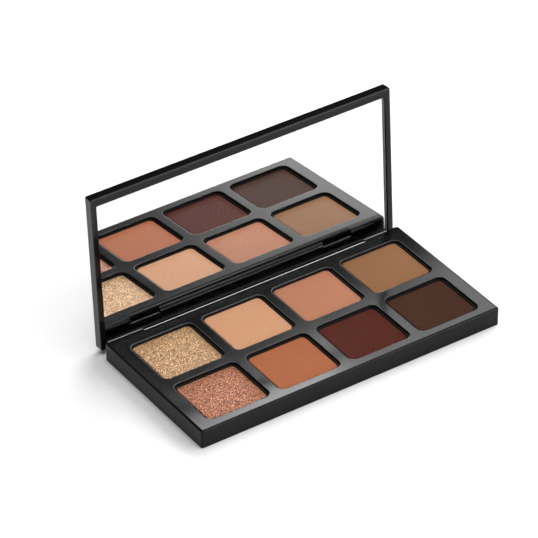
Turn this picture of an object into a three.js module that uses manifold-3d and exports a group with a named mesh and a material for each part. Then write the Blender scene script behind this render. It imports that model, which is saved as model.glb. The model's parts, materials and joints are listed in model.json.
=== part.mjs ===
// An eyeshadow palette: a flat black compact with eight pressed powders under a hinged lid that
// carries a mirror. Millimetres, +X to the right along the front edge, +Y towards the hinge, +Z up.
// The origin is the middle of the underside. The lid is shown standing open.
import * as THREE from 'three';
import { mergeVertices } from 'three/addons/utils/BufferGeometryUtils.js';
import Module from 'manifold-3d';

const wasm = await Module();
wasm.setup();

// Overall case
const WIDTH = 130;
const DEPTH = 64;
const BASE_HEIGHT = 7.6;
const LID_THICKNESS = 4;
const CLOSED_GAP = 0.1;
const EDGE_RADIUS = 0.8;
const FRONT_CORNER = 0.8;
const REAR_CORNER = 1.6;
const FOOT_RADIUS = 0.5;

// Hinge
const HINGE_Y = 30.27;
const HINGE_Z = 3.85;
const OPEN_ANGLE = 93.45;
const REAR_FACE = 31.9;
const LUG_RADIUS = 1.4;
const ROLL_RADIUS = 3;
const ROLL_START = 29.05;
const STEP_X = 49.2;
const KNUCKLE_IN = 36.5;
const KNUCKLE_OUT = 48.9;
const KNUCKLE_RADIUS = 1.5;
const KNUCKLE_CHANNEL = 1.9;
const KNUCKLE_END_GAP = 0.3;
const CHANNEL_LIP = 0.6;
const PIN_RADIUS = 0.6;
const PIN_SEAT = 0.65;
const PIN_BORE = 0.68;
const PIN_IN = 32.2;
const PIN_OUT = 54.8;
const PIN_END_GAP = 0.2;
const ARM = 0.88;
const ARM_OVERLAP = 0.3;
const ARM_FOOT_RADIUS = 1.8;
const ARM_FOOT_LOW = 1.1;
const ARM_FOOT_HIGH = 0.9;

// Deck and wells
const COLUMNS = 4;
const ROWS = 2;
const PITCH_X = 30.65;
const PITCH_Y = 28.4;
const FIRST_ROW_Y = -15.9;
const WINDOW_W = 26.9;
const WINDOW_D = 24.4;
const WINDOW_R = 3;
const LEDGE = 0.9;
const LEDGE_DROP = 0.9;
const DECK_THICKNESS = 1.4;
const DECK_REAR = 28.5;
const DECK_CORNER = 0.4;
const WELL_W = 26.6;
const WELL_D = 24.1;
const WELL_FLOOR = 2.4;
const WELL_R = 2.85;

// Pans and powders
const PAN_W = 26.2;
const PAN_D = 23.7;
const PAN_R = 2.65;
const PAN_WALL = 0.35;
const PAN_TOP = 6.1;
const PAD_W = 20;
const PAD_D = 18;
const PAD_R = 1.5;
const PAD_THICKNESS = 0.3;
const POWDER_GAP = 0.15;
const POWDER_TOP = 6.65;
const POWDER_SHOULDER = 5.9;

// Lid and mirror
const LID_WALL = 0.9;
const LID_PANEL = 1.2;
const RIM_SIDE = 2.35;
const RIM_FREE = 3.4;
const RIM_HINGE = 2.1;
const MIRROR_RECESS = 0.55;
const MIRROR_THICKNESS = 1;
const MIRROR_GAP = 0.1;
const MIRROR_R = 0.4;
const TRAY_CORNER = 0.4;
const LIP_RADIUS = 0.45;
const LID_CORNER = 1;
const TAPE = 0.15;
const TAPE_INSET = 4;
const TAPE_R = 1;

// Closure magnets
const MAGNET_LENGTH = 10;
const MAGNET_WIDTH = 1.6;
const MAGNET_HEIGHT = 1.5;
const MAGNET_X = 30.65;
const MAGNET_TO_WELL = 1.75;
const MAGNET_TO_WALL = 1.25;
const MAGNET_POCKET_SKIN = 1;

// Segments in a quarter turn, and how far a cut runs past the face it opens
const ARC = 6;
const CUT = 1;
const ROUND_BAR = 32;
const ROUND_PIN = 24;

function paint(color, roughness, metalness = 0) {
  return new THREE.MeshStandardMaterial({ color, roughness, metalness });
}

function solid(geometry) {
  const g = geometry.index ? geometry.toNonIndexed() : geometry.clone();
  g.deleteAttribute('normal');
  g.deleteAttribute('uv');
  const m = mergeVertices(g, 1e-5);
  const mesh = new wasm.Mesh({
    numProp: 3,
    vertProperties: new Float32Array(m.attributes.position.array),
    triVerts: new Uint32Array(m.index.array),
  });
  return new wasm.Manifold(mesh);
}

function piece(name, body, material, matrix) {
  const data = body.getMesh();
  const g = new THREE.BufferGeometry();
  g.setAttribute('position', new THREE.BufferAttribute(new Float32Array(data.vertProperties), 3));
  g.setIndex(new THREE.BufferAttribute(new Uint32Array(data.triVerts), 1));
  if (matrix) g.applyMatrix4(matrix);
  g.computeVertexNormals();
  const mesh = new THREE.Mesh(g, material);
  mesh.name = name;
  return mesh;
}

// A rounded rectangle, with one radius for the front corners and one for the rear corners.
function roundedRect(w, d, front, rear = front) {
  const s = new THREE.Shape();
  const x = w / 2;
  const y = d / 2;
  s.moveTo(-x + front, -y);
  s.lineTo(x - front, -y);
  s.absarc(x - front, -y + front, front, -Math.PI / 2, 0);
  s.lineTo(x, y - rear);
  s.absarc(x - rear, y - rear, rear, 0, Math.PI / 2);
  s.lineTo(-x + rear, y);
  s.absarc(-x + rear, y - rear, rear, Math.PI / 2, Math.PI);
  s.lineTo(-x, -y + front);
  s.absarc(-x + front, -y + front, front, Math.PI, Math.PI * 1.5);
  return s;
}

function extrude(shape, depth) {
  return new THREE.ExtrudeGeometry(shape, { depth, bevelEnabled: false, curveSegments: ARC });
}

// An upright slab with rounded corners.
function slab(w, d, z0, z1, corner, cx = 0, cy = 0, rear = corner) {
  return solid(extrude(roundedRect(w, d, corner, rear), z1 - z0).translate(cx, cy, z0));
}

// A bar along X with a section drawn in Y and Z.
function barX(shape, x0, x1) {
  const g = extrude(shape, x1 - x0);
  const m = new THREE.Matrix4().makeBasis(
    new THREE.Vector3(0, 1, 0),
    new THREE.Vector3(0, 0, 1),
    new THREE.Vector3(1, 0, 0),
  );
  return solid(g.applyMatrix4(m.setPosition(x0, 0, 0)));
}

// A bar along Y with a section drawn in X and Z.
function barY(shape, y0, y1) {
  const g = extrude(shape, y1 - y0);
  const m = new THREE.Matrix4().makeBasis(
    new THREE.Vector3(1, 0, 0),
    new THREE.Vector3(0, 0, 1),
    new THREE.Vector3(0, -1, 0),
  );
  return solid(g.applyMatrix4(m.setPosition(0, y1, 0)));
}

function box(x0, x1, y0, y1, z0, z1) {
  const g = new THREE.BoxGeometry(x1 - x0, y1 - y0, z1 - z0);
  return solid(g.translate((x0 + x1) / 2, (y0 + y1) / 2, (z0 + z1) / 2));
}

// The ends of a stretch along X, mirrored for the left side.
function stretch(side, inner, outer) {
  return side > 0 ? [inner, outer] : [-outer, -inner];
}

// A round bar along X centred on the hinge line.
function hingeBar(radius, x0, x1, segments = ROUND_BAR) {
  const g = new THREE.CylinderGeometry(radius, radius, x1 - x0, segments);
  g.rotateZ(-Math.PI / 2);
  return solid(g.translate((x0 + x1) / 2, HINGE_Y, HINGE_Z));
}

// A section from a to b across and from low to high, with its own radius at each corner.
function section(a, b, low, high, ra, rb, foot) {
  const s = new THREE.Shape();
  s.moveTo(a + foot, low);
  s.lineTo(b - foot, low);
  s.absarc(b - foot, low + foot, foot, -Math.PI / 2, 0);
  s.lineTo(b, high - rb);
  s.absarc(b - rb, high - rb, rb, 0, Math.PI / 2);
  s.lineTo(a + ra, high);
  s.absarc(a + ra, high - ra, ra, Math.PI / 2, Math.PI);
  s.lineTo(a, low + foot);
  s.absarc(a + foot, low + foot, foot, Math.PI, Math.PI * 1.5);
  return s;
}

function wellCentres() {
  const list = [];
  for (let row = ROWS - 1; row >= 0; row -= 1) {
    for (let col = 0; col < COLUMNS; col += 1) {
      list.push([(col - (COLUMNS - 1) / 2) * PITCH_X, FIRST_ROW_Y + row * PITCH_Y]);
    }
  }
  return list;
}

// The tub: a filled slab with eight wells, a rebate for the deck and the hinge lugs at the rear.
function baseShell() {
  const front = -DEPTH / 2;
  const rearMid = (front + REAR_FACE) / 2;
  const across = section(front, REAR_FACE, 0, BASE_HEIGHT, EDGE_RADIUS, LUG_RADIUS, FOOT_RADIUS);
  const half = WIDTH / 2;
  const along = section(-half, half, 0, BASE_HEIGHT, EDGE_RADIUS, EDGE_RADIUS, FOOT_RADIUS);
  let body = barX(across, -half, half);
  body = body.intersect(barY(along, front, REAR_FACE));
  const depth = REAR_FACE - front;
  const top = BASE_HEIGHT + CUT;
  body = body.intersect(slab(WIDTH, depth, -CUT, top, FRONT_CORNER, 0, rearMid, REAR_CORNER));

  // The rolled rear edge between the lugs.
  const roll = new THREE.Shape();
  const zc = BASE_HEIGHT - ROLL_RADIUS;
  roll.moveTo(ROLL_START, BASE_HEIGHT);
  roll.absarc(ROLL_START, zc, ROLL_RADIUS, Math.PI / 2, 0, true);
  roll.lineTo(DEPTH / 2 + CUT, zc);
  roll.lineTo(DEPTH / 2 + CUT, top);
  roll.lineTo(ROLL_START, top);
  body = body.subtract(barX(roll, -STEP_X, STEP_X));

  // The two hinge channels, open to the rear and below, and the holes for the pins.
  for (const side of [-1, 1]) {
    const [x0, x1] = stretch(side, KNUCKLE_IN - KNUCKLE_END_GAP, STEP_X);
    const back = REAR_FACE + CUT;
    body = body.subtract(hingeBar(KNUCKLE_CHANNEL, x0, x1));
    body = body.subtract(box(x0, x1, HINGE_Y, back, -CUT, HINGE_Z));
    body = body.subtract(box(x0, x1, HINGE_Y + CHANNEL_LIP, back, -CUT, top));
    const [p0, p1] = stretch(side, PIN_IN - PIN_END_GAP, PIN_OUT + PIN_END_GAP);
    body = body.subtract(hingeBar(PIN_SEAT, p0, p1, ROUND_PIN));
  }

  // The rebate that takes the deck, and the wells under it.
  const deckFront = front + EDGE_RADIUS;
  const deckDepth = DECK_REAR - deckFront;
  const deckY = (DECK_REAR + deckFront) / 2;
  const seat = BASE_HEIGHT - DECK_THICKNESS;
  const deckWidth = WIDTH - 2 * EDGE_RADIUS;
  body = body.subtract(slab(deckWidth, deckDepth, seat, top, DECK_CORNER, 0, deckY));
  for (const [x, y] of wellCentres()) {
    body = body.subtract(slab(WELL_W, WELL_D, WELL_FLOOR, top, WELL_R, x, y));
  }
  for (const x of [-MAGNET_X, MAGNET_X]) {
    body = body.subtract(magnetBlock(x, magnetBaseY(), seat - MAGNET_HEIGHT, seat + CUT));
  }
  return body;
}

// The flush plate over the wells, with a stepped window for each powder.
function deckPlate() {
  const deckFront = -DEPTH / 2 + EDGE_RADIUS;
  const deckDepth = DECK_REAR - deckFront;
  const deckY = (DECK_REAR + deckFront) / 2;
  const deckWidth = WIDTH - 2 * EDGE_RADIUS;
  const bottom = BASE_HEIGHT - DECK_THICKNESS;
  const top = BASE_HEIGHT + CUT;
  let body = slab(deckWidth, deckDepth, bottom, BASE_HEIGHT, DECK_CORNER, 0, deckY);
  for (const [x, y] of wellCentres()) {
    const floor = BASE_HEIGHT - LEDGE_DROP;
    body = body.subtract(slab(WINDOW_W, WINDOW_D, floor, top, WINDOW_R, x, y));
    const w = WINDOW_W - 2 * LEDGE;
    const d = WINDOW_D - 2 * LEDGE;
    body = body.subtract(slab(w, d, bottom - CUT, top, WINDOW_R - LEDGE, x, y));
  }
  return body;
}

// A pressed metal pan, open at the top.
function pan(x, y) {
  const low = WELL_FLOOR + PAD_THICKNESS;
  const outer = slab(PAN_W, PAN_D, low, PAN_TOP, PAN_R, x, y);
  const w = PAN_W - 2 * PAN_WALL;
  const d = PAN_D - 2 * PAN_WALL;
  return outer.subtract(slab(w, d, low + PAN_WALL, PAN_TOP + CUT, PAN_R - PAN_WALL, x, y));
}

// The pressed powder: it fills the pan and stands a little proud through the deck.
function powder(x, y) {
  const low = WELL_FLOOR + PAD_THICKNESS + PAN_WALL;
  const w = PAN_W - 2 * PAN_WALL;
  const d = PAN_D - 2 * PAN_WALL;
  const body = slab(w, d, low, POWDER_SHOULDER, PAN_R - PAN_WALL, x, y);
  const inset = LEDGE + POWDER_GAP;
  const cw = WINDOW_W - 2 * inset;
  const cd = WINDOW_D - 2 * inset;
  return body.add(slab(cw, cd, POWDER_SHOULDER, POWDER_TOP, WINDOW_R - inset, x, y));
}

function pad(x, y) {
  return slab(PAD_W, PAD_D, WELL_FLOOR, WELL_FLOOR + PAD_THICKNESS, PAD_R, x, y);
}

function magnetBaseY() {
  return FIRST_ROW_Y - WELL_D / 2 - MAGNET_TO_WELL;
}

function magnetBlock(x, y, z0, z1) {
  const a = MAGNET_LENGTH / 2;
  const b = MAGNET_WIDTH / 2;
  return box(x - a, x + a, y - b, y + b, z0, z1);
}

function hingePin(side) {
  const [x0, x1] = stretch(side, PIN_IN, PIN_OUT);
  return hingeBar(PIN_RADIUS, x0, x1, ROUND_PIN);
}

// The lid parts are drawn closed, face down on the base, and then turned open about the hinge.
const LID_LOW = BASE_HEIGHT + CLOSED_GAP;
const LID_HIGH = LID_LOW + LID_THICKNESS;
const TRAY_HIGH = LID_HIGH - LID_PANEL;

function lidShell() {
  const half = WIDTH / 2;
  const deep = DEPTH / 2;
  const across = section(-deep, deep, LID_LOW, LID_HIGH, EDGE_RADIUS, EDGE_RADIUS, LIP_RADIUS);
  const along = section(-half, half, LID_LOW, LID_HIGH, EDGE_RADIUS, EDGE_RADIUS, LIP_RADIUS);
  let body = barX(across, -half, half).intersect(barY(along, -deep, deep));
  body = body.intersect(slab(WIDTH, DEPTH, LID_LOW - CUT, LID_HIGH + CUT, LID_CORNER));
  const w = WIDTH - 2 * LID_WALL;
  const d = DEPTH - 2 * LID_WALL;
  body = body.subtract(slab(w, d, LID_LOW - CUT, TRAY_HIGH, TRAY_CORNER));
  for (const side of [-1, 1]) {
    const [x0, x1] = stretch(side, KNUCKLE_IN, KNUCKLE_OUT);
    const arm = box(x0, x1, deep - ARM, deep, HINGE_Z - ARM_OVERLAP, LID_LOW + LID_WALL);
    const footLow = HINGE_Z - ARM_FOOT_LOW;
    const foot = box(x0, x1, HINGE_Y, deep, footLow, HINGE_Z + ARM_FOOT_HIGH);
    body = body.add(arm).add(foot.intersect(hingeBar(ARM_FOOT_RADIUS, x0, x1)));
    body = body.add(hingeBar(KNUCKLE_RADIUS, x0, x1));
    body = body.subtract(hingeBar(PIN_BORE, x0 - CUT, x1 + CUT, ROUND_PIN));
  }
  return body;
}

function mirrorHole(extra = 0) {
  const w = WIDTH - 2 * RIM_SIDE - 2 * extra;
  const d = DEPTH - RIM_FREE - RIM_HINGE - 2 * extra;
  return { w, d, y: (RIM_FREE - RIM_HINGE) / 2 };
}

// The tray that lines the lid: a rim round the mirror and a thin floor behind it.
function mirrorTray() {
  const w = WIDTH - 2 * LID_WALL;
  const d = DEPTH - 2 * LID_WALL;
  let body = slab(w, d, LID_LOW, TRAY_HIGH, TRAY_CORNER);
  const hole = mirrorHole();
  const floor = LID_LOW + MIRROR_RECESS + MIRROR_THICKNESS + TAPE;
  const corner = MIRROR_R + MIRROR_GAP;
  body = body.subtract(slab(hole.w, hole.d, LID_LOW - CUT, floor, corner, 0, hole.y));
  for (const x of [-MAGNET_X, MAGNET_X]) {
    const low = LID_LOW + MAGNET_POCKET_SKIN;
    body = body.subtract(magnetBlock(x, magnetLidY(), low, TRAY_HIGH + CUT));
  }
  return body;
}

function magnetLidY() {
  return -DEPTH / 2 + LID_WALL + MAGNET_TO_WALL;
}

function mirrorGlass() {
  const hole = mirrorHole(MIRROR_GAP);
  const low = LID_LOW + MIRROR_RECESS;
  return slab(hole.w, hole.d, low, low + MIRROR_THICKNESS, MIRROR_R, 0, hole.y);
}

function mirrorTape() {
  const hole = mirrorHole(TAPE_INSET);
  const low = LID_LOW + MIRROR_RECESS + MIRROR_THICKNESS;
  return slab(hole.w, hole.d, low, low + TAPE, TAPE_R, 0, hole.y);
}

function openTurn() {
  const m = new THREE.Matrix4().makeTranslation(0, HINGE_Y, HINGE_Z);
  m.multiply(new THREE.Matrix4().makeRotationX(-THREE.MathUtils.degToRad(OPEN_ANGLE)));
  m.multiply(new THREE.Matrix4().makeTranslation(0, -HINGE_Y, -HINGE_Z));
  return m;
}

const SHADES = [
  ['gold_shimmer', 0xc9a17c],
  ['peach_matte', 0xd7a07a],
  ['clay_matte', 0xc38568],
  ['tan_matte', 0x9d7050],
  ['rose_copper_shimmer', 0xb87a61],
  ['burnt_orange_matte', 0xb6704c],
  ['burgundy_matte', 0x5e3128],
  ['dark_brown_matte', 0x51352b],
];

const palette = new THREE.Group();
palette.name = 'eyeshadow_palette';
palette.add(piece('base_shell', baseShell(), paint(0x17171a, 0.4)));
palette.add(piece('deck_plate', deckPlate(), paint(0x151518, 0.3)));

wellCentres().forEach(([x, y], i) => {
  const n = i + 1;
  palette.add(piece(`pad_${n}`, pad(x, y), paint(0xd8d2c4, 0.8)));
  palette.add(piece(`pan_${n}`, pan(x, y), paint(0xc9cbce, 0.35, 1)));
  palette.add(piece(`powder_${n}_${SHADES[i][0]}`, powder(x, y), paint(SHADES[i][1], 0.8)));
});

[-1, 1].forEach((side) => {
  const tag = side < 0 ? 'left' : 'right';
  const seat = BASE_HEIGHT - DECK_THICKNESS;
  const x = side * MAGNET_X;
  const low = magnetBlock(x, magnetBaseY(), seat - MAGNET_HEIGHT, seat);
  palette.add(piece(`base_magnet_${tag}`, low, paint(0xb4b6ba, 0.3, 1)));
  palette.add(piece(`hinge_pin_${tag}`, hingePin(side), paint(0xa8abb0, 0.3, 1)));
});

const open = openTurn();
palette.add(piece('lid_shell', lidShell(), paint(0x101012, 0.15), open));
palette.add(piece('mirror_tray', mirrorTray(), paint(0x101012, 0.15), open));
palette.add(piece('mirror_tape', mirrorTape(), paint(0xd8d2c4, 0.8), open));
palette.add(piece('mirror_glass', mirrorGlass(), paint(0xdfe4e6, 0.03, 1), open));
[-1, 1].forEach((side) => {
  const tag = side < 0 ? 'left' : 'right';
  const high = magnetBlock(side * MAGNET_X, magnetLidY(), TRAY_HIGH - MAGNET_HEIGHT, TRAY_HIGH);
  palette.add(piece(`lid_magnet_${tag}`, high, paint(0xb4b6ba, 0.3, 1), open));
});

export default palette;
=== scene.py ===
import json
import math

import bmesh
import bpy
from mathutils import Matrix, Vector


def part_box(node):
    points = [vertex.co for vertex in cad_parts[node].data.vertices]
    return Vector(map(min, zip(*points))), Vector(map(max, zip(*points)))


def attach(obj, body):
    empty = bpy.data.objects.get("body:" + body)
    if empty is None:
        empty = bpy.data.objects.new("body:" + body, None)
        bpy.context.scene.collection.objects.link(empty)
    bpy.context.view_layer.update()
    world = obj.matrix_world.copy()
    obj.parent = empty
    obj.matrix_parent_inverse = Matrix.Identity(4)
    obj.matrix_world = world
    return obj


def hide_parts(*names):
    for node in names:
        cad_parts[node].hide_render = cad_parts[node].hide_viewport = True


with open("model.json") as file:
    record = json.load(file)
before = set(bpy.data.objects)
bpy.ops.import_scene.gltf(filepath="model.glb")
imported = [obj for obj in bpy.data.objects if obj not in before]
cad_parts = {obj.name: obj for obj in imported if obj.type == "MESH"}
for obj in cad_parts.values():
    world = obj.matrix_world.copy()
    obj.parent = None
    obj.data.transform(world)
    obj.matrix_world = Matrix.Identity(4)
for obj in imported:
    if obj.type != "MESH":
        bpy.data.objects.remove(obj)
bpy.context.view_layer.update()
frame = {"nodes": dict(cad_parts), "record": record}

MM = 0.001
# Segments in a quarter turn, and how far a cut runs past the face that it opens
ARC = 8
CUT = 1.0

# Case edges
FOOT_FILLET = 0.2
TOP_FILLET = 0.8
LUG_FILLET = 1.4
FRONT_CORNER = 0.8
REAR_CORNER = 1.6
LEAST_CORNER = 0.05
ROLL_RADIUS = 3.0
ROLL_START = 29.05
ROLL_STEPS = 24
STEP_X = 49.2
SEAM_GAP = 0.02
SEAM_FILLET = 0.06
SEAM_CORNER = 0.4

# Hinge
KNUCKLE_IN = 36.5
KNUCKLE_OUT = 48.9
KNUCKLE_RADIUS = 1.5
KNUCKLE_GAP = 0.3
CHANNEL_RADIUS = 1.9
CHANNEL_LIP = 0.6
PIN_SEAT = 0.65
PIN_BORE = 0.68
PIN_END_GAP = 0.2
ARM_WALL = 0.88
ARM_BELOW_PIN = 0.3
ARM_OVERLAP = 0.4
ARM_FOOT_RADIUS = 1.8
ARM_FOOT_LOW = 1.1
ARM_FOOT_HIGH = 0.9

# Windows, wells and powders
WINDOW_MARGIN = 1.05
WINDOW_CORNER = 3.0
WINDOW_FILLET = 0.28
LEDGE = 0.9
LEDGE_DROP = 0.9
LEDGE_FILLET = 0.12
REAR_REACH = 0.7
WELL_MARGIN = 0.55
WELL_CORNER = 2.85
WELL_FLOOR = 2.4
PAN_CORNER = 2.3
CAKE_EDGE = 0.35
CAKE_SHOULDER = 0.53
CAKE_CORNER = 1.95
CAKE_FILLET = 0.3
CAKE_CROWN = 0.07
CROWN_STEPS = 14
CROWN_CORNER = 0.5

# Lid
LID_WALL = 0.9
LID_FILLET = 0.5
LIP_FILLET = 0.3
LID_CORNER = 0.7
MIRROR_GAP = 0.1
MIRROR_CORNER = 0.4
MIRROR_RIM = 0.1
SILVER_DEPTH = 0.66
TAPE = 0.15
FRAME_FILLET = 0.2
# Faces whose normal rises more than this belong to the open lid's upper rim
RIM_FACING = 0.75


# Shapes

def mm_box(corners):
    low, high = corners
    return [v / MM for v in low], [v / MM for v in high]


def outline(x0, x1, y0, y1, front, rear=None):
    """A rounded rectangle, anticlockwise, with its own radius for the front and rear corners."""
    rear = front if rear is None else rear
    corners = [
        (x0 + front, y0 + front, front, 180),
        (x1 - front, y0 + front, front, 270),
        (x1 - rear, y1 - rear, rear, 0),
        (x0 + rear, y1 - rear, rear, 90),
    ]
    points = []
    for cx, cy, radius, start in corners:
        for i in range(ARC + 1):
            a = math.radians(start + 90 * i / ARC)
            points.append((cx + radius * math.cos(a), cy + radius * math.sin(a)))
    return points


def fillet(radius, steps=ARC):
    """Pairs of inset and rise, from an upright wall over to the flat on top."""
    pairs = []
    for i in range(steps + 1):
        t = math.radians(90 * i / steps)
        pairs.append((radius * (1 - math.cos(t)), radius * math.sin(t)))
    return pairs


def solid(name, bm):
    bmesh.ops.remove_doubles(bm, verts=bm.verts, dist=1e-4)
    bmesh.ops.recalc_face_normals(bm, faces=bm.faces)
    mesh = bpy.data.meshes.new(name)
    bm.to_mesh(mesh)
    bm.free()
    obj = bpy.data.objects.new(name, mesh)
    bpy.context.collection.objects.link(obj)
    return obj


def add_loft(bm, rings):
    """A closed skin through rings of equal length, each a height and a list of points."""
    loops = [[bm.verts.new((x, y, z)) for x, y in points] for z, points in rings]
    count = len(loops[0])
    for low, high in zip(loops, loops[1:]):
        for i in range(count):
            j = (i + 1) % count
            bm.faces.new((low[i], low[j], high[j], high[i]))
    bm.faces.new(list(reversed(loops[0])))
    bm.faces.new(loops[-1])


def loft(name, rings):
    bm = bmesh.new()
    add_loft(bm, rings)
    return solid(name, bm)


def add_bar(bm, section, x0, x1):
    """A bar along X with a section drawn in Y and Z."""
    ends = [[bm.verts.new((x, y, z)) for y, z in section] for x in (x0, x1)]
    count = len(section)
    for i in range(count):
        j = (i + 1) % count
        bm.faces.new((ends[0][i], ends[0][j], ends[1][j], ends[1][i]))
    bm.faces.new(list(reversed(ends[0])))
    bm.faces.new(ends[1])


def bar(name, section, x0, x1):
    bm = bmesh.new()
    add_bar(bm, section, x0, x1)
    return solid(name, bm)


def circle(y, z, radius, count=48):
    points = []
    for i in range(count):
        a = 2 * math.pi * i / count
        points.append((y + radius * math.cos(a), z + radius * math.sin(a)))
    return points


def rect(y0, y1, z0, z1):
    return [(y0, z0), (y1, z0), (y1, z1), (y0, z1)]


def combine(body, tool, operation):
    """Cuts tool from body, or joins or intersects them, and removes the tool."""
    step = body.modifiers.new("step", "BOOLEAN")
    step.object = tool
    step.operation = operation
    step.solver = "MANIFOLD"
    graph = bpy.context.evaluated_depsgraph_get()
    mesh = bpy.data.meshes.new_from_object(body.evaluated_get(graph))
    body.modifiers.clear()
    body.data = mesh
    bpy.data.objects.remove(tool)


def smooth(mesh, angle):
    """Smooth shading with sharp edges where the surface turns by more than angle."""
    bm = bmesh.new()
    bm.from_mesh(mesh)
    for edge in bm.edges:
        turned = edge.calc_face_angle(math.pi) > math.radians(angle)
        edge.smooth = not turned
    for face in bm.faces:
        face.smooth = True
    bm.to_mesh(mesh)
    bm.free()


def place(obj, name, body, materials, stands_for, turn=None, angle=32):
    """Finishes a piece: metres, smooth shading, materials, and its place in the frame."""
    mesh = obj.data
    mesh.transform(Matrix.Scale(MM, 4))
    if turn:
        mesh.transform(turn)
    smooth(mesh, angle)
    obj.name = name
    mesh.name = name
    mesh.materials.clear()
    for material in materials:
        mesh.materials.append(material)
    weigh = obj.modifiers.new("weighted_normals", "WEIGHTED_NORMAL")
    weigh.keep_sharp = True
    weigh.weight = 60
    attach(obj, body)
    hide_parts(stands_for)
    return obj


# Materials

FLAKE = 0.24


class Graph:
    """A node tree with short calls for the nodes used here."""

    def __init__(self, name):
        self.material = bpy.data.materials.new(name)
        self.material.use_nodes = True
        self.nodes = self.material.node_tree.nodes
        self.links = self.material.node_tree.links
        self.shader = self.nodes["Principled BSDF"]
        self.place = self.nodes.new("ShaderNodeTexCoord").outputs["Object"]

    def node(self, kind, inputs=None, **settings):
        made = self.nodes.new(kind)
        for key, value in settings.items():
            setattr(made, key, value)
        for key, value in (inputs or {}).items():
            self.feed(made.inputs[key], value)
        return made

    def feed(self, socket, value):
        if isinstance(value, bpy.types.NodeSocket):
            self.links.new(value, socket)
        else:
            socket.default_value = value

    def noise(self, size, detail=2.0, rough=0.5):
        """Noise between 0 and 1 with features of about this size in millimetres."""
        inputs = {"Vector": self.place, "Scale": 1 / (size * MM)}
        inputs.update({"Detail": detail, "Roughness": rough})
        return self.node("ShaderNodeTexNoise", inputs).outputs["Fac"]

    def spread(self, value, low, high, start=0.25, end=0.75):
        """value carried from start..end to low..high."""
        inputs = {"Value": value, "From Min": start, "From Max": end}
        inputs.update({"To Min": low, "To Max": high})
        return self.node("ShaderNodeMapRange", inputs).outputs["Result"]

    def blend(self, fac, a, b):
        node = self.node("ShaderNodeMix", data_type="RGBA")
        colours = [s for s in node.inputs if s.type == "RGBA"]
        self.feed(node.inputs[0], fac)
        self.feed(colours[0], a)
        self.feed(colours[1], b)
        return [s for s in node.outputs if s.type == "RGBA"][0]

    def math(self, operation, a, b=0.0):
        node = self.node("ShaderNodeMath", operation=operation)
        self.feed(node.inputs[0], a)
        self.feed(node.inputs[1], b)
        return node.outputs[0]

    def vector(self, operation, inputs):
        return self.node("ShaderNodeVectorMath", inputs, operation=operation).outputs[0]

    def bump(self, height, distance, normal=None):
        inputs = {"Height": height, "Distance": distance * MM, "Strength": 1.0}
        if normal:
            inputs["Normal"] = normal
        return self.node("ShaderNodeBump", inputs).outputs["Normal"]

    def set(self, **values):
        for key, value in values.items():
            label = key.replace("_", " ").title().replace("Ior", "IOR")
            self.feed(self.shader.inputs[label], value)


def rgba(colour, factor=1.0):
    return [min(1.0, c * factor) for c in colour] + [1.0]


def linear(r, g, b):
    """Linear colour from display values between 0 and 255."""
    made = []
    for value in (r, g, b):
        v = value / 255
        made.append(v / 12.92 if v <= 0.04045 else ((v + 0.055) / 1.055) ** 2.4)
    return made


def plastic(name, tone, rough, vary, grain, depth, shine, handled=0.0):
    """Moulded plastic: fine tool texture, uneven gloss, and faint wear on its edges."""
    g = Graph(name)
    fine = g.noise(grain, 3.0, 0.6)
    broad = g.noise(14.0, 3.0, 0.55)
    worn = g.node("ShaderNodeNewGeometry").outputs["Pointiness"]
    edge = g.spread(worn, 0.0, 1.0, 0.52, 0.62)
    dark = rgba([tone] * 3, 0.86)
    light = rgba([tone, tone, tone * 1.04], 1.18)
    body = g.blend(g.spread(fine, 0.0, 1.0, 0.3, 0.7), dark, light)
    rubbed = g.math("MULTIPLY", edge, handled)
    g.set(base_color=g.blend(rubbed, body, rgba([0.05, 0.05, 0.052])))
    uneven = g.spread(broad, rough - vary, rough + vary, 0.3, 0.7)
    g.set(roughness=g.math("ADD", uneven, g.math("MULTIPLY", rubbed, 0.1)))
    g.set(specular_ior_level=shine)
    g.set(normal=g.bump(fine, depth))
    return g.material


def pressed(name, colour, shine):
    """A matte pressed powder: fine grain, a leathery press mark, pits coloured darker as painted
    shade in them, and uneven tone.
    """
    g = Graph(name)
    fine = g.noise(0.3, 4.0, 0.65)
    leather = g.noise(0.65, 2.0, 0.6)
    broad = g.noise(6.0, 2.0, 0.5)
    pores = g.node("ShaderNodeTexVoronoi", {"Vector": g.place, "Scale": 1 / (0.5 * MM)})
    pit = g.spread(pores.outputs["Distance"], 0.0, 1.0, 0.05, 0.25)
    shade = g.blend(g.spread(fine, 0.0, 1.0, 0.3, 0.7), rgba(colour, 0.86), rgba(colour, 1.13))
    shade = g.blend(g.spread(leather, 0.0, 0.5, 0.35, 0.65), shade, rgba(colour, 0.86))
    shade = g.blend(g.spread(broad, 0.0, 0.35), shade, rgba(colour, 0.94))
    # The pits take a colour 6% darker: painted shade in them.
    g.set(base_color=g.blend(pit, rgba(colour, 0.94), shade))
    g.set(roughness=g.spread(fine, 0.5, 0.65))
    g.set(specular_ior_level=shine, sheen_weight=0.03, sheen_roughness=0.5)
    height = g.math("ADD", fine, g.math("MULTIPLY", pit, 0.25))
    height = g.math("ADD", height, g.math("MULTIPLY", leather, 9.0))
    g.set(normal=g.bump(height, 0.02))
    return g.material


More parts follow.
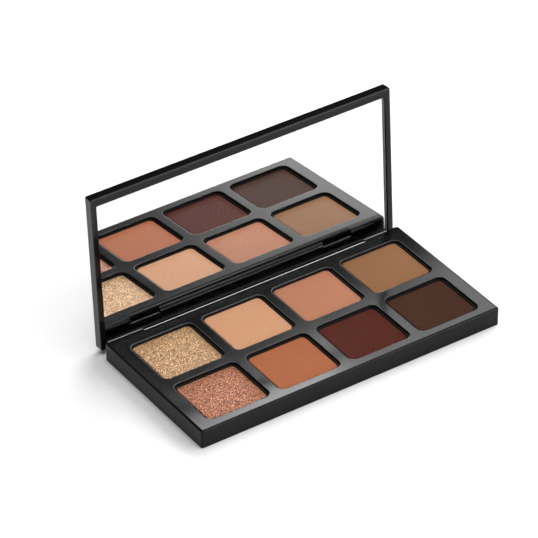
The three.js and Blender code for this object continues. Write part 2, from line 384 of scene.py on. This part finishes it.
def shimmer(name, colour, glint):
    """A shimmering pressed powder: mica flakes, each tilted its own way in a coloured base, and
    the brightest flakes in a pale glint colour: partly their own paler colour, partly painted
    glints.
    """
    g = Graph(name)
    cells = g.node("ShaderNodeTexVoronoi", {"Vector": g.place, "Scale": 1 / (FLAKE * MM)})
    small = g.node("ShaderNodeTexVoronoi", {"Vector": g.place, "Scale": 2.1 / (FLAKE * MM)})
    split = g.node("ShaderNodeSeparateColor", {"Color": cells.outputs["Color"]})
    split_small = g.node("ShaderNodeSeparateColor", {"Color": small.outputs["Color"]})
    bright = split.outputs["Red"]
    tint = g.blend(bright, rgba(colour, 0.35), rgba(colour, 1.45))
    tint = g.blend(g.spread(split_small.outputs["Green"], 0.0, 0.5, 0.2, 1.0), tint, rgba(colour))
    # Painted glints: the cells picked here take the pale glint colour in place of their tint.
    spark = g.spread(split.outputs["Blue"], 0.0, 1.0, 0.72, 0.95)
    g.set(base_color=g.blend(spark, tint, rgba(glint)))
    g.set(metallic=g.spread(bright, 0.25, 0.7, 0.0, 1.0))
    g.set(roughness=g.spread(split_small.outputs["Red"], 0.32, 0.6, 0.0, 1.0))
    g.set(specular_ior_level=0.5)
    tilt = g.vector("SUBTRACT", {0: cells.outputs["Color"], 1: (0.5, 0.5, 0.5)})
    scaled = g.vector("SCALE", {0: tilt, "Scale": 0.8})
    upright = g.node("ShaderNodeNewGeometry").outputs["Normal"]
    leaning = g.vector("ADD", {0: scaled, 1: upright})
    leaning = g.vector("NORMALIZE", {0: leaning})
    g.set(normal=g.bump(g.noise(0.12, 3.0), 0.01, normal=leaning))
    return g.material


def metal(name, colour, rough):
    """Bare metal with rolling marks and an uneven polish."""
    g = Graph(name)
    marks = g.noise(0.4, 3.0)
    g.set(metallic=1.0)
    g.set(base_color=g.blend(marks, rgba(colour, 0.92), rgba(colour, 1.05)))
    g.set(roughness=g.spread(marks, rough - 0.05, rough + 0.05))
    g.set(normal=g.bump(marks, 0.003))
    return g.material


def silvering(name):
    """The mirror's face: a very slight haze and warmth over bright silver."""
    g = Graph(name)
    haze = g.noise(9.0, 4.0, 0.6)
    g.set(metallic=1.0)
    g.set(base_color=g.blend(haze, rgba([0.93, 0.935, 0.94]), rgba([0.95, 0.95, 0.95])))
    g.set(roughness=g.spread(haze, 0.0, 0.015))
    return g.material


def ground_glass(name):
    """The mirror's ground edge: pale frosted glass."""
    g = Graph(name)
    grit = g.noise(0.12, 3.0, 0.6)
    g.set(base_color=g.blend(grit, rgba([0.2, 0.21, 0.21]), rgba([0.3, 0.31, 0.31])))
    g.set(roughness=g.spread(grit, 0.8, 0.95))
    g.set(specular_ior_level=0.1)
    g.set(normal=g.bump(grit, 0.006))
    return g.material


def foam_tape(name):
    """Pale double-sided tape."""
    g = Graph(name)
    cells = g.noise(0.3, 3.0)
    g.set(base_color=g.blend(cells, rgba([0.6, 0.57, 0.5]), rgba([0.72, 0.7, 0.64])))
    g.set(roughness=g.spread(cells, 0.75, 0.95))
    g.set(normal=g.bump(cells, 0.02))
    return g.material


# The powders: node, colour, then the pale colour painted on the brightest flakes as glints or, on
# a matte one, its shine
SHADES = {
    1: ("powder_1_gold_shimmer", linear(127, 93, 61), linear(231, 188, 127)),
    2: ("powder_2_peach_matte", linear(186, 136, 102), 0.12),
    3: ("powder_3_clay_matte", linear(163, 107, 79), 0.12),
    4: ("powder_4_tan_matte", linear(122, 84, 53), 0.12),
    5: ("powder_5_rose_copper_shimmer", linear(108, 58, 33), linear(224, 149, 107)),
    6: ("powder_6_burnt_orange_matte", linear(149, 85, 51), 0.1),
    7: ("powder_7_burgundy_matte", linear(68, 23, 10), 0.052),
    8: ("powder_8_dark_brown_matte", linear(55, 29, 15), 0.06),
}

# tone, roughness and its spread, grain size and depth in mm, shine, and wear on the edges
base_finish = plastic("satin_case", 0.003, 0.17, 0.02, 0.22, 0.001, 0.15, handled=0.1)
deck_finish = plastic("satin_deck", 0.002, 0.14, 0.015, 0.22, 0.0006, 0.45, handled=0.1)
# The same dull black also goes on the mirror's hinge-side glass edge as painted shade.
recess_and_shade_finish = plastic("recess_deck_and_painted_shade", 0.002, 0.5, 0.03, 0.22, 0.002, 0.08)
lid_finish = plastic("gloss_lid", 0.003, 0.08, 0.015, 0.9, 0.0008, 0.34, handled=0.1)
rim_finish = plastic("satin_rim", 0.003, 0.14, 0.015, 0.9, 0.0008, 0.08)
tray_finish = plastic("gloss_tray", 0.003, 0.12, 0.015, 0.9, 0.0008, 0.24)
mirror_face = silvering("mirror_silver")
mirror_edge = ground_glass("mirror_edge")


# The hinge, and the turn that opens the lid from the closed position

hinge = frame["record"]["behaviour"]["joints"][0]
pivot = Vector(hinge["pos_m"])
hinge_y = pivot.y / MM
hinge_z = pivot.z / MM
opening = Matrix.Rotation(-math.radians(hinge["range_deg"][1]), 4, "X")
open_turn = Matrix.Translation(pivot) @ opening @ Matrix.Translation(-pivot)


def closed_box(node):
    """The box of a lid node as it lies when the palette is closed, in millimetres."""
    back = open_turn.inverted()
    points = [back @ v.co for v in frame["nodes"][node].data.vertices]
    low = [min(p[i] for p in points) / MM for i in range(3)]
    high = [max(p[i] for p in points) / MM for i in range(3)]
    return low, high


base_low, base_high = mm_box(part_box("base_shell"))
deck_low, deck_high = mm_box(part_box("deck_plate"))
cakes = {n: mm_box(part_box(SHADES[n][0])) for n in SHADES}
pins = [mm_box(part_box("hinge_pin_" + side)) for side in ("left", "right")]


# The base

def rolled(z, top, radius):
    """How far a wall with a rounded top edge stands in at height z."""
    rise = z - (top - radius)
    return radius - math.sqrt(max(0.0, radius * radius - rise * rise)) if rise > 0 else 0.0


def case_rings():
    x0, y0, _ = base_low
    x1, y1, top = base_high
    rings = []
    for inset, rise in reversed(fillet(FOOT_FILLET)):
        edge = outline(
            x0 + inset, x1 - inset, y0 + inset, y1 - inset,
            max(FRONT_CORNER - inset, LEAST_CORNER), REAR_CORNER - inset,
        )
        rings.append((FOOT_FILLET - rise, edge))
    levels = {round(top - r + rise, 5) for r in (TOP_FILLET, LUG_FILLET) for _, rise in fillet(r)}
    for z in sorted(levels):
        side = rolled(z, top, TOP_FILLET)
        rear = rolled(z, top, LUG_FILLET)
        edge = outline(
            x0 + side, x1 - side, y0 + side, y1 - rear,
            max(FRONT_CORNER - side, LEAST_CORNER), REAR_CORNER - (side + rear) / 2,
        )
        rings.append((z, edge))
    return rings


def roll_section():
    """What is cut away between the lugs to leave the rolled rear edge."""
    top = base_high[2]
    centre = top - ROLL_RADIUS
    past = base_high[1] + 2 * CUT
    points = [(ROLL_START, top)]
    for i in range(1, ROLL_STEPS + 1):
        a = math.radians(90 - 90 * i / ROLL_STEPS)
        y = ROLL_START + ROLL_RADIUS * math.cos(a)
        points.append((y, centre + ROLL_RADIUS * math.sin(a)))
    return points + [(past, centre), (past, top + CUT), (ROLL_START, top + CUT)]


def mirrored(inner, outer):
    return [(inner, outer), (-outer, -inner)]


def cake_outline(n, margin, corner, rear=0.0):
    """An outline around cake n; the rear row's powder reaches further towards the hinge."""
    low, high = cakes[n]
    back = high[1] + margin + (rear if high[1] > 0 else 0.0)
    return outline(low[0] - margin, high[0] + margin, low[1] - margin, back, corner)


def make_base():
    case = loft("case", case_rings())
    combine(case, bar("roll", roll_section(), -STEP_X, STEP_X), "DIFFERENCE")
    top = base_high[2] + CUT
    back = base_high[1] + CUT
    for x0, x1 in mirrored(KNUCKLE_IN - KNUCKLE_GAP, STEP_X):
        channel = circle(hinge_y, hinge_z, CHANNEL_RADIUS)
        combine(case, bar("channel", channel, x0, x1), "DIFFERENCE")
        below = rect(hinge_y, back, -CUT, hinge_z)
        combine(case, bar("below", below, x0, x1), "DIFFERENCE")
        behind = rect(hinge_y + CHANNEL_LIP, back, -CUT, top)
        combine(case, bar("behind", behind, x0, x1), "DIFFERENCE")
    for low, high in pins:
        seat = circle(hinge_y, hinge_z, PIN_SEAT, 32)
        x0 = low[0] - PIN_END_GAP
        x1 = high[0] + PIN_END_GAP
        combine(case, bar("seat", seat, x0, x1), "DIFFERENCE")
    rebate = outline(deck_low[0], deck_high[0], deck_low[1], deck_high[1], SEAM_CORNER)
    combine(case, loft("rebate", [(deck_low[2], rebate), (top, rebate)]), "DIFFERENCE")
    bm = bmesh.new()
    for n in cakes:
        well = cake_outline(n, WELL_MARGIN, WELL_CORNER)
        add_loft(bm, [(WELL_FLOOR, well), (top, well)])
    combine(case, solid("wells", bm), "DIFFERENCE")
    place(case, "case_base", "base", [base_finish], "base_shell")


# The deck plate with its eight stepped windows

def window_rings(n):
    """From below the plate up through the ledge to the rounded rim of one window."""
    top = deck_high[2]
    floor = top - LEDGE_DROP

    def step(z, out, rear=0.0):
        margin = WINDOW_MARGIN - CAKE_EDGE + out
        return z, cake_outline(n, margin, WINDOW_CORNER + out, rear)

    rings = [step(deck_low[2] - CUT, -LEDGE, REAR_REACH)]
    for inset, rise in fillet(LEDGE_FILLET, 4):
        rings.append(step(floor - LEDGE_FILLET + rise, -LEDGE + inset, REAR_REACH))
    for inset, rise in reversed(fillet(LEDGE_FILLET, 4)):
        rings.append(step(floor + LEDGE_FILLET - rise, -inset))
    for inset, rise in fillet(WINDOW_FILLET, 6):
        rings.append(step(top - WINDOW_FILLET + rise, inset))
    rings.append(step(top + CUT, WINDOW_FILLET))
    return rings


def make_deck():
    x0, y0, low = deck_low
    x1, y1, top = deck_high
    e = SEAM_GAP
    rings = [(low + e, outline(x0 + e, x1 - e, y0 + e, y1 - e, SEAM_CORNER))]
    for inset, rise in fillet(SEAM_FILLET, 3):
        e = SEAM_GAP + inset
        edge = outline(x0 + e, x1 - e, y0 + e, y1 - e, SEAM_CORNER - inset)
        rings.append((top - SEAM_FILLET + rise, edge))
    deck = loft("deck", rings)
    bm = bmesh.new()
    for n in cakes:
        add_loft(bm, window_rings(n))
    combine(deck, solid("windows", bm), "DIFFERENCE")
    finishes = [deck_finish, recess_and_shade_finish]
    placed = place(deck, "case_deck", "base", finishes, "deck_plate")
    rim = (top - WINDOW_FILLET) * MM
    for polygon in placed.data.polygons:
        polygon.material_index = 1 if polygon.center.z < rim else 0


# The powders

def cake_rings(n):
    """A pressed cake: straight inside its pan, a small shoulder, and a softly crowned top."""
    low, high = cakes[n]
    top = high[2]
    shoulder = top - CAKE_SHOULDER
    in_pan = cake_outline(n, 0, PAN_CORNER)
    rings = [(low[2], in_pan), (shoulder, in_pan)]
    for inset, rise in fillet(CAKE_FILLET, 6):
        z = top - CAKE_CROWN - CAKE_FILLET + rise
        edge = cake_outline(n, -CAKE_EDGE - inset, CAKE_CORNER - inset, REAR_REACH)
        rings.append((z, edge))
    half = (high[1] - low[1]) / 2 - CAKE_EDGE - CAKE_FILLET
    for i in range(1, CROWN_STEPS):
        way = i / CROWN_STEPS
        inset = CAKE_FILLET + half * way
        rise = CAKE_CROWN * (1 - (1 - way) ** 2)
        corner = max(CAKE_CORNER - inset, 0.02) + CROWN_CORNER * way
        crown = cake_outline(n, -CAKE_EDGE - inset, corner, REAR_REACH * (1 - way))
        rings.append((top - CAKE_CROWN + rise, crown))
    return rings


def make_powders():
    for n, (node, colour, extra) in SHADES.items():
        make = shimmer if node.endswith("shimmer") else pressed
        finish = make(node, colour, extra)
        cake = loft("cake", cake_rings(n))
        place(cake, "cake_" + node[7:], "base", [finish], node, angle=50)


# The lid, drawn closed and then turned open

def make_lid():
    (x0, y0, _), (x1, y1, top) = closed_box("lid_shell")
    tray_low, tray_high = closed_box("mirror_tray")
    lip = tray_low[2]
    rings = []
    for e, rise in reversed(fillet(LIP_FILLET, 6)):
        edge = outline(x0 + e, x1 - e, y0 + e, y1 - e, LID_CORNER - e)
        rings.append((lip + LIP_FILLET - rise, edge))
    for e, rise in fillet(LID_FILLET):
        edge = outline(x0 + e, x1 - e, y0 + e, y1 - e, LID_CORNER - e)
        rings.append((top - LID_FILLET + rise, edge))
    lid = loft("lid", rings)
    w = LID_WALL - SEAM_GAP
    cavity = outline(x0 + w, x1 - w, y0 + w, y1 - w, SEAM_CORNER)
    combine(lid, loft("cavity", [(lip - CUT, cavity), (tray_high[2], cavity)]), "DIFFERENCE")
    for k0, k1 in mirrored(KNUCKLE_IN, KNUCKLE_OUT):
        arm_top = lip + LIP_FILLET + ARM_OVERLAP
        arm = rect(y1 - ARM_WALL, y1, hinge_z - ARM_BELOW_PIN, arm_top)
        combine(lid, bar("arm", arm, k0, k1), "UNION")
        foot = bar("foot", circle(hinge_y, hinge_z, ARM_FOOT_RADIUS), k0, k1)
        back = rect(hinge_y, y1, hinge_z - ARM_FOOT_LOW, hinge_z + ARM_FOOT_HIGH)
        combine(foot, bar("back", back, k0, k1), "INTERSECT")
        combine(lid, foot, "UNION")
        knuckle = bar("knuckle", circle(hinge_y, hinge_z, KNUCKLE_RADIUS), k0, k1)
        combine(lid, knuckle, "UNION")
        bore = circle(hinge_y, hinge_z, PIN_BORE, 32)
        combine(lid, bar("bore", bore, k0 - CUT, k1 + CUT), "DIFFERENCE")
    finishes = [lid_finish, rim_finish]
    place(lid, "lid_cover", "lid", finishes, "lid_shell", open_turn)
    for face in lid.data.polygons:
        face.material_index = 1 if face.normal.z > RIM_FACING else 0


def make_frame():
    (x0, y0, lip), (x1, y1, top) = closed_box("mirror_tray")
    glass_low, glass_high = closed_box("mirror_glass")
    rings = []
    for e, rise in reversed(fillet(SEAM_FILLET, 3)):
        edge = outline(x0 + e, x1 - e, y0 + e, y1 - e, SEAM_CORNER - e)
        rings.append((lip + SEAM_FILLET - rise, edge))
    rings.append((top, outline(x0, x1, y0, y1, SEAM_CORNER)))
    tray = loft("tray", rings)

    def around_glass(out):
        margin = MIRROR_GAP + out
        sides = (glass_low[0] - margin, glass_high[0] + margin)
        ends = (glass_low[1] - margin, glass_high[1] + margin)
        return outline(*sides, *ends, MIRROR_CORNER + margin)

    hole = [(lip - CUT, around_glass(FRAME_FILLET))]
    for out, rise in reversed(fillet(FRAME_FILLET, 5)):
        hole.append((lip + FRAME_FILLET - rise, around_glass(out)))
    hole.append((glass_high[2] + TAPE, around_glass(0)))
    combine(tray, loft("hole", hole), "DIFFERENCE")
    place(tray, "mirror_frame", "lid", [tray_finish], "mirror_tray", open_turn)


def make_mirror():
    (x0, y0, face), (x1, y1, back) = closed_box("mirror_glass")
    e = MIRROR_RIM
    silver = face + SILVER_DEPTH
    inner = outline(x0 + e, x1 - e, y0 + e, y1 - e, MIRROR_CORNER - e)
    rings = [
        (back, outline(x0, x1, y0, y1, MIRROR_CORNER)),
        (face, outline(x0, x1, y0, y1, MIRROR_CORNER)),
        (face, inner),
        (silver, inner),
    ]
    glass = loft("glass", rings)
    kinds = []
    for polygon in glass.data.polygons:
        if abs(polygon.center.z - silver) < 0.01:
            kinds.append(0)
        else:
            # Painted shade: the glass's edge along the hinge side takes the black recess plastic
            # in place of ground glass.
            kinds.append(2 if polygon.center.y > y1 - 2 * e else 1)
    materials = [mirror_face, mirror_edge, recess_and_shade_finish]
    placed = place(glass, "mirror", "lid", materials, "mirror_glass", open_turn)
    for polygon, kind in zip(placed.data.polygons, kinds):
        polygon.material_index = kind


def dress_cad():
    """Materials for the CAD nodes that are shown as they are."""
    tin = metal("tinplate", [0.62, 0.63, 0.65], 0.32)
    steel = metal("pin_steel", [0.55, 0.56, 0.58], 0.25)
    magnet = metal("magnet_nickel", [0.5, 0.5, 0.52], 0.28)
    tape = foam_tape("mounting_tape")
    kinds = {"pan_": tin, "hinge_pin": steel, "magnet": magnet, "pad_": tape, "tape": tape}
    for name, node in frame["nodes"].items():
        for key, material in kinds.items():
            if key in name and not node.hide_render:
                node.data.materials.clear()
                node.data.materials.append(material)


make_base()
make_deck()
make_powders()
make_lid()
make_frame()
make_mirror()
dress_cad()


# Floor, light and camera. Two panels stand where the deck reflects them to the camera, each
# in two halves of its own brightness: one behind the lid, and its twin in front, which the
# deck shows by way of the mirror. A third, the key, lights only what scatters light.

FLOOR_SIZE = 20
CARD_DIRECTION = (34.5, 36)
CARD_DISTANCE = 350
CARD_TILT = -35
CARD_LIFT = 13
CARD_WIDTH = 140
CARD_HEIGHT = 90
FRONT_LEVELS = (7.0, 4.2)
REAR_LEVELS = (7.5, 2.6)
KEY_DIRECTION = (52, 41)
KEY_DISTANCE = 1400
KEY_SIZE = 900
KEY_LEVEL = 5.6


def make_floor():
    bm = bmesh.new()
    bmesh.ops.create_grid(bm, x_segments=1, y_segments=1, size=FLOOR_SIZE)
    mesh = bpy.data.meshes.new("floor")
    bm.to_mesh(mesh)
    bm.free()
    floor = bpy.data.objects.new("floor", mesh)
    bpy.context.collection.objects.link(floor)
    g = Graph("floor_white")
    g.set(base_color=rgba([0.8, 0.8, 0.8]), roughness=1.0, specular_ior_level=0.0)
    mesh.materials.append(g.material)


def heading(azimuth, elevation):
    """The direction towards azimuth, clockwise from +Y seen from above, and elevation."""
    a = math.radians(azimuth)
    e = math.radians(elevation)
    return Vector((math.sin(a) * math.cos(e), math.cos(a) * math.cos(e), math.sin(e)))


class Sky:
    """The studio as seen from the table: dim, with a bright floor line and softboxes in it."""

    def __init__(self):
        world = bpy.data.worlds.new("studio")
        bpy.context.scene.world = world
        world.use_nodes = True
        self.nodes = world.node_tree.nodes
        self.links = world.node_tree.links
        self.way = self.nodes.new("ShaderNodeTexCoord").outputs["Generated"]
        split = self.nodes.new("ShaderNodeSeparateXYZ")
        self.links.new(self.way, split.inputs[0])
        self.height = split.outputs["Z"]
        self.total = None

    def calc(self, operation, a, b=0.0):
        node = self.nodes.new("ShaderNodeMath")
        node.operation = operation
        for socket, value in zip(node.inputs, (a, b)):
            if isinstance(value, bpy.types.NodeSocket):
                self.links.new(value, socket)
            else:
                socket.default_value = value
        return node.outputs[0]

    def ramp(self, value, start, end, low, high):
        node = self.nodes.new("ShaderNodeMapRange")
        node.interpolation_type = "SMOOTHSTEP"
        self.links.new(value, node.inputs["Value"])
        limits = {"From Min": start, "From Max": end, "To Min": low, "To Max": high}
        for key, number in limits.items():
            node.inputs[key].default_value = number
        return node.outputs["Result"]

    def dot(self, axis):
        node = self.nodes.new("ShaderNodeVectorMath")
        node.operation = "DOT_PRODUCT"
        self.links.new(self.way, node.inputs[0])
        node.inputs[1].default_value = axis
        return node.outputs["Value"]

    def softbox(self, azimuth, elevation, width, height, soft, strength):
        """A rectangle of light facing the table, its size as angles, with soft edges."""
        centre = heading(azimuth, elevation)
        across = heading(azimuth + 90, 0)
        upward = across.cross(centre) * -1
        ahead = self.calc("MAXIMUM", self.dot(centre), 1e-3)
        lit = self.ramp(self.dot(centre), 0.0, 0.05, 0.0, strength)
        for axis, size in ((across, width), (upward, height)):
            slope = self.calc("DIVIDE", self.dot(axis), ahead)
            slope = self.calc("ABSOLUTE", slope)
            inner = math.tan(math.radians(size / 2))
            outer = math.tan(math.radians(size / 2 + soft))
            lit = self.calc("MULTIPLY", lit, self.ramp(slope, inner, outer, 1.0, 0.0))
        self.add(lit)

    def band(self, start, end, low, high):
        """Light that changes from low to high between two heights above the horizon."""
        limits = [math.sin(math.radians(v)) for v in (start, end)]
        self.add(self.ramp(self.height, *limits, low, high))

    def add(self, value):
        self.total = self.calc("ADD", self.total, value) if self.total else value

    def finish(self):
        self.links.new(self.total, self.nodes["Background"].inputs["Strength"])
        self.nodes["Background"].inputs["Color"].default_value = (1, 1, 1, 1)


def light_card(name, centre, ahead, along, size, radiance, hidden_from):
    """A diffusing panel facing back along ahead, with one side lying along a direction."""
    width, height = size
    light = bpy.data.lights.new(name, "AREA")
    light.shape = "RECTANGLE"
    light.size = width * MM
    light.size_y = height * MM
    light.energy = radiance * math.pi * width * height * MM * MM
    obj = bpy.data.objects.new(name, light)
    bpy.context.collection.objects.link(obj)
    upward = ahead.cross(along) * -1
    turn = Matrix((along, upward, ahead)).transposed().to_4x4()
    obj.matrix_world = Matrix.Translation(centre * MM) @ turn
    obj.visible_camera = False
    setattr(obj, hidden_from, False)


def flipped(point, origin, normal):
    """A point, or a direction when origin is zero, mirrored in a plane."""
    return point - normal * (2 * (point - origin).dot(normal))


def level_with(ahead):
    """The horizontal direction square to ahead."""
    return ahead.cross(Vector((0, 0, 1))).normalized()


def make_light():
    sky = Sky()
    sky.band(3, 12, 1.05, 0.06)
    sky.band(66, 76, 0.0, 3.6)
    sky.softbox(92, 45, 50, 16, 5, 2.6)
    sky.softbox(115, 24, 60, 18, 1, 4.4)
    sky.softbox(152, 12, 20, 10, 2, 12.0)
    sky.softbox(190, 56, 40, 14, 4, 3.0)
    sky.finish()

    ahead = heading(*CARD_DIRECTION)
    level = level_with(ahead)
    upward = level.cross(ahead)
    tilt = math.radians(CARD_TILT)
    along = level * math.cos(tilt) + upward * math.sin(tilt)
    across = upward * math.cos(tilt) - level * math.sin(tilt)
    deck_top = Vector((0, 0, deck_high[2]))
    middle = deck_top + ahead * CARD_DISTANCE + across * (CARD_LIFT + CARD_HEIGHT / 2)
    glass_low, _ = closed_box("mirror_glass")
    silver = open_turn @ (Vector((0, hinge_y, glass_low[2] + SILVER_DEPTH)) * MM) / MM
    facing = (open_turn.to_3x3() @ Vector((0, 0, -1))).normalized()
    zero = Vector((0, 0, 0))
    twin_ahead = flipped(ahead, zero, facing)
    twin_along = flipped(along, zero, facing)
    size = (CARD_WIDTH, CARD_HEIGHT)
    for side, front, rear in zip((-0.5, 0.5), FRONT_LEVELS, REAR_LEVELS):
        centre = middle + along * (side * CARD_WIDTH)
        twin = flipped(centre, silver, facing)
        light_card("rear_card", centre, ahead, along, size, rear, "visible_diffuse")
        light_card("front_card", twin, twin_ahead, twin_along, size, front, "visible_diffuse")

    ahead = heading(*KEY_DIRECTION)
    size = (KEY_SIZE, KEY_SIZE)
    centre = ahead * KEY_DISTANCE
    light_card("key_panel", centre, ahead, level_with(ahead), size, KEY_LEVEL, "visible_glossy")


# The viewing direction, and the point that the picture is centred on
AZIMUTH = -34.083
ELEVATION = 35.613
ROLL = -0.237
DISTANCE = 1369.7
AIM = Vector((-1.785, 19.109, 21.758))
SENSOR = 36.0
LENS = 252.2


def make_camera():
    a = math.radians(AZIMUTH)
    e = math.radians(ELEVATION)
    r = math.radians(ROLL)
    back = Vector((math.sin(a) * math.cos(e), -math.cos(a) * math.cos(e), math.sin(e)))
    right = Vector((math.cos(a), math.sin(a), 0))
    up = back.cross(right)
    level = right * math.cos(r) + up * math.sin(r)
    upright = up * math.cos(r) - right * math.sin(r)
    place_at = (AIM + back * DISTANCE) * MM
    cam = bpy.data.cameras.new("camera")
    cam.lens = LENS
    cam.sensor_width = SENSOR
    obj = bpy.data.objects.new("camera", cam)
    bpy.context.collection.objects.link(obj)
    turn = Matrix((level, upright, back)).transposed().to_4x4()
    obj.matrix_world = Matrix.Translation(place_at) @ turn
    bpy.context.scene.camera = obj


make_floor()
make_light()
make_camera()
bpy.context.scene.view_settings.view_transform = "Standard"
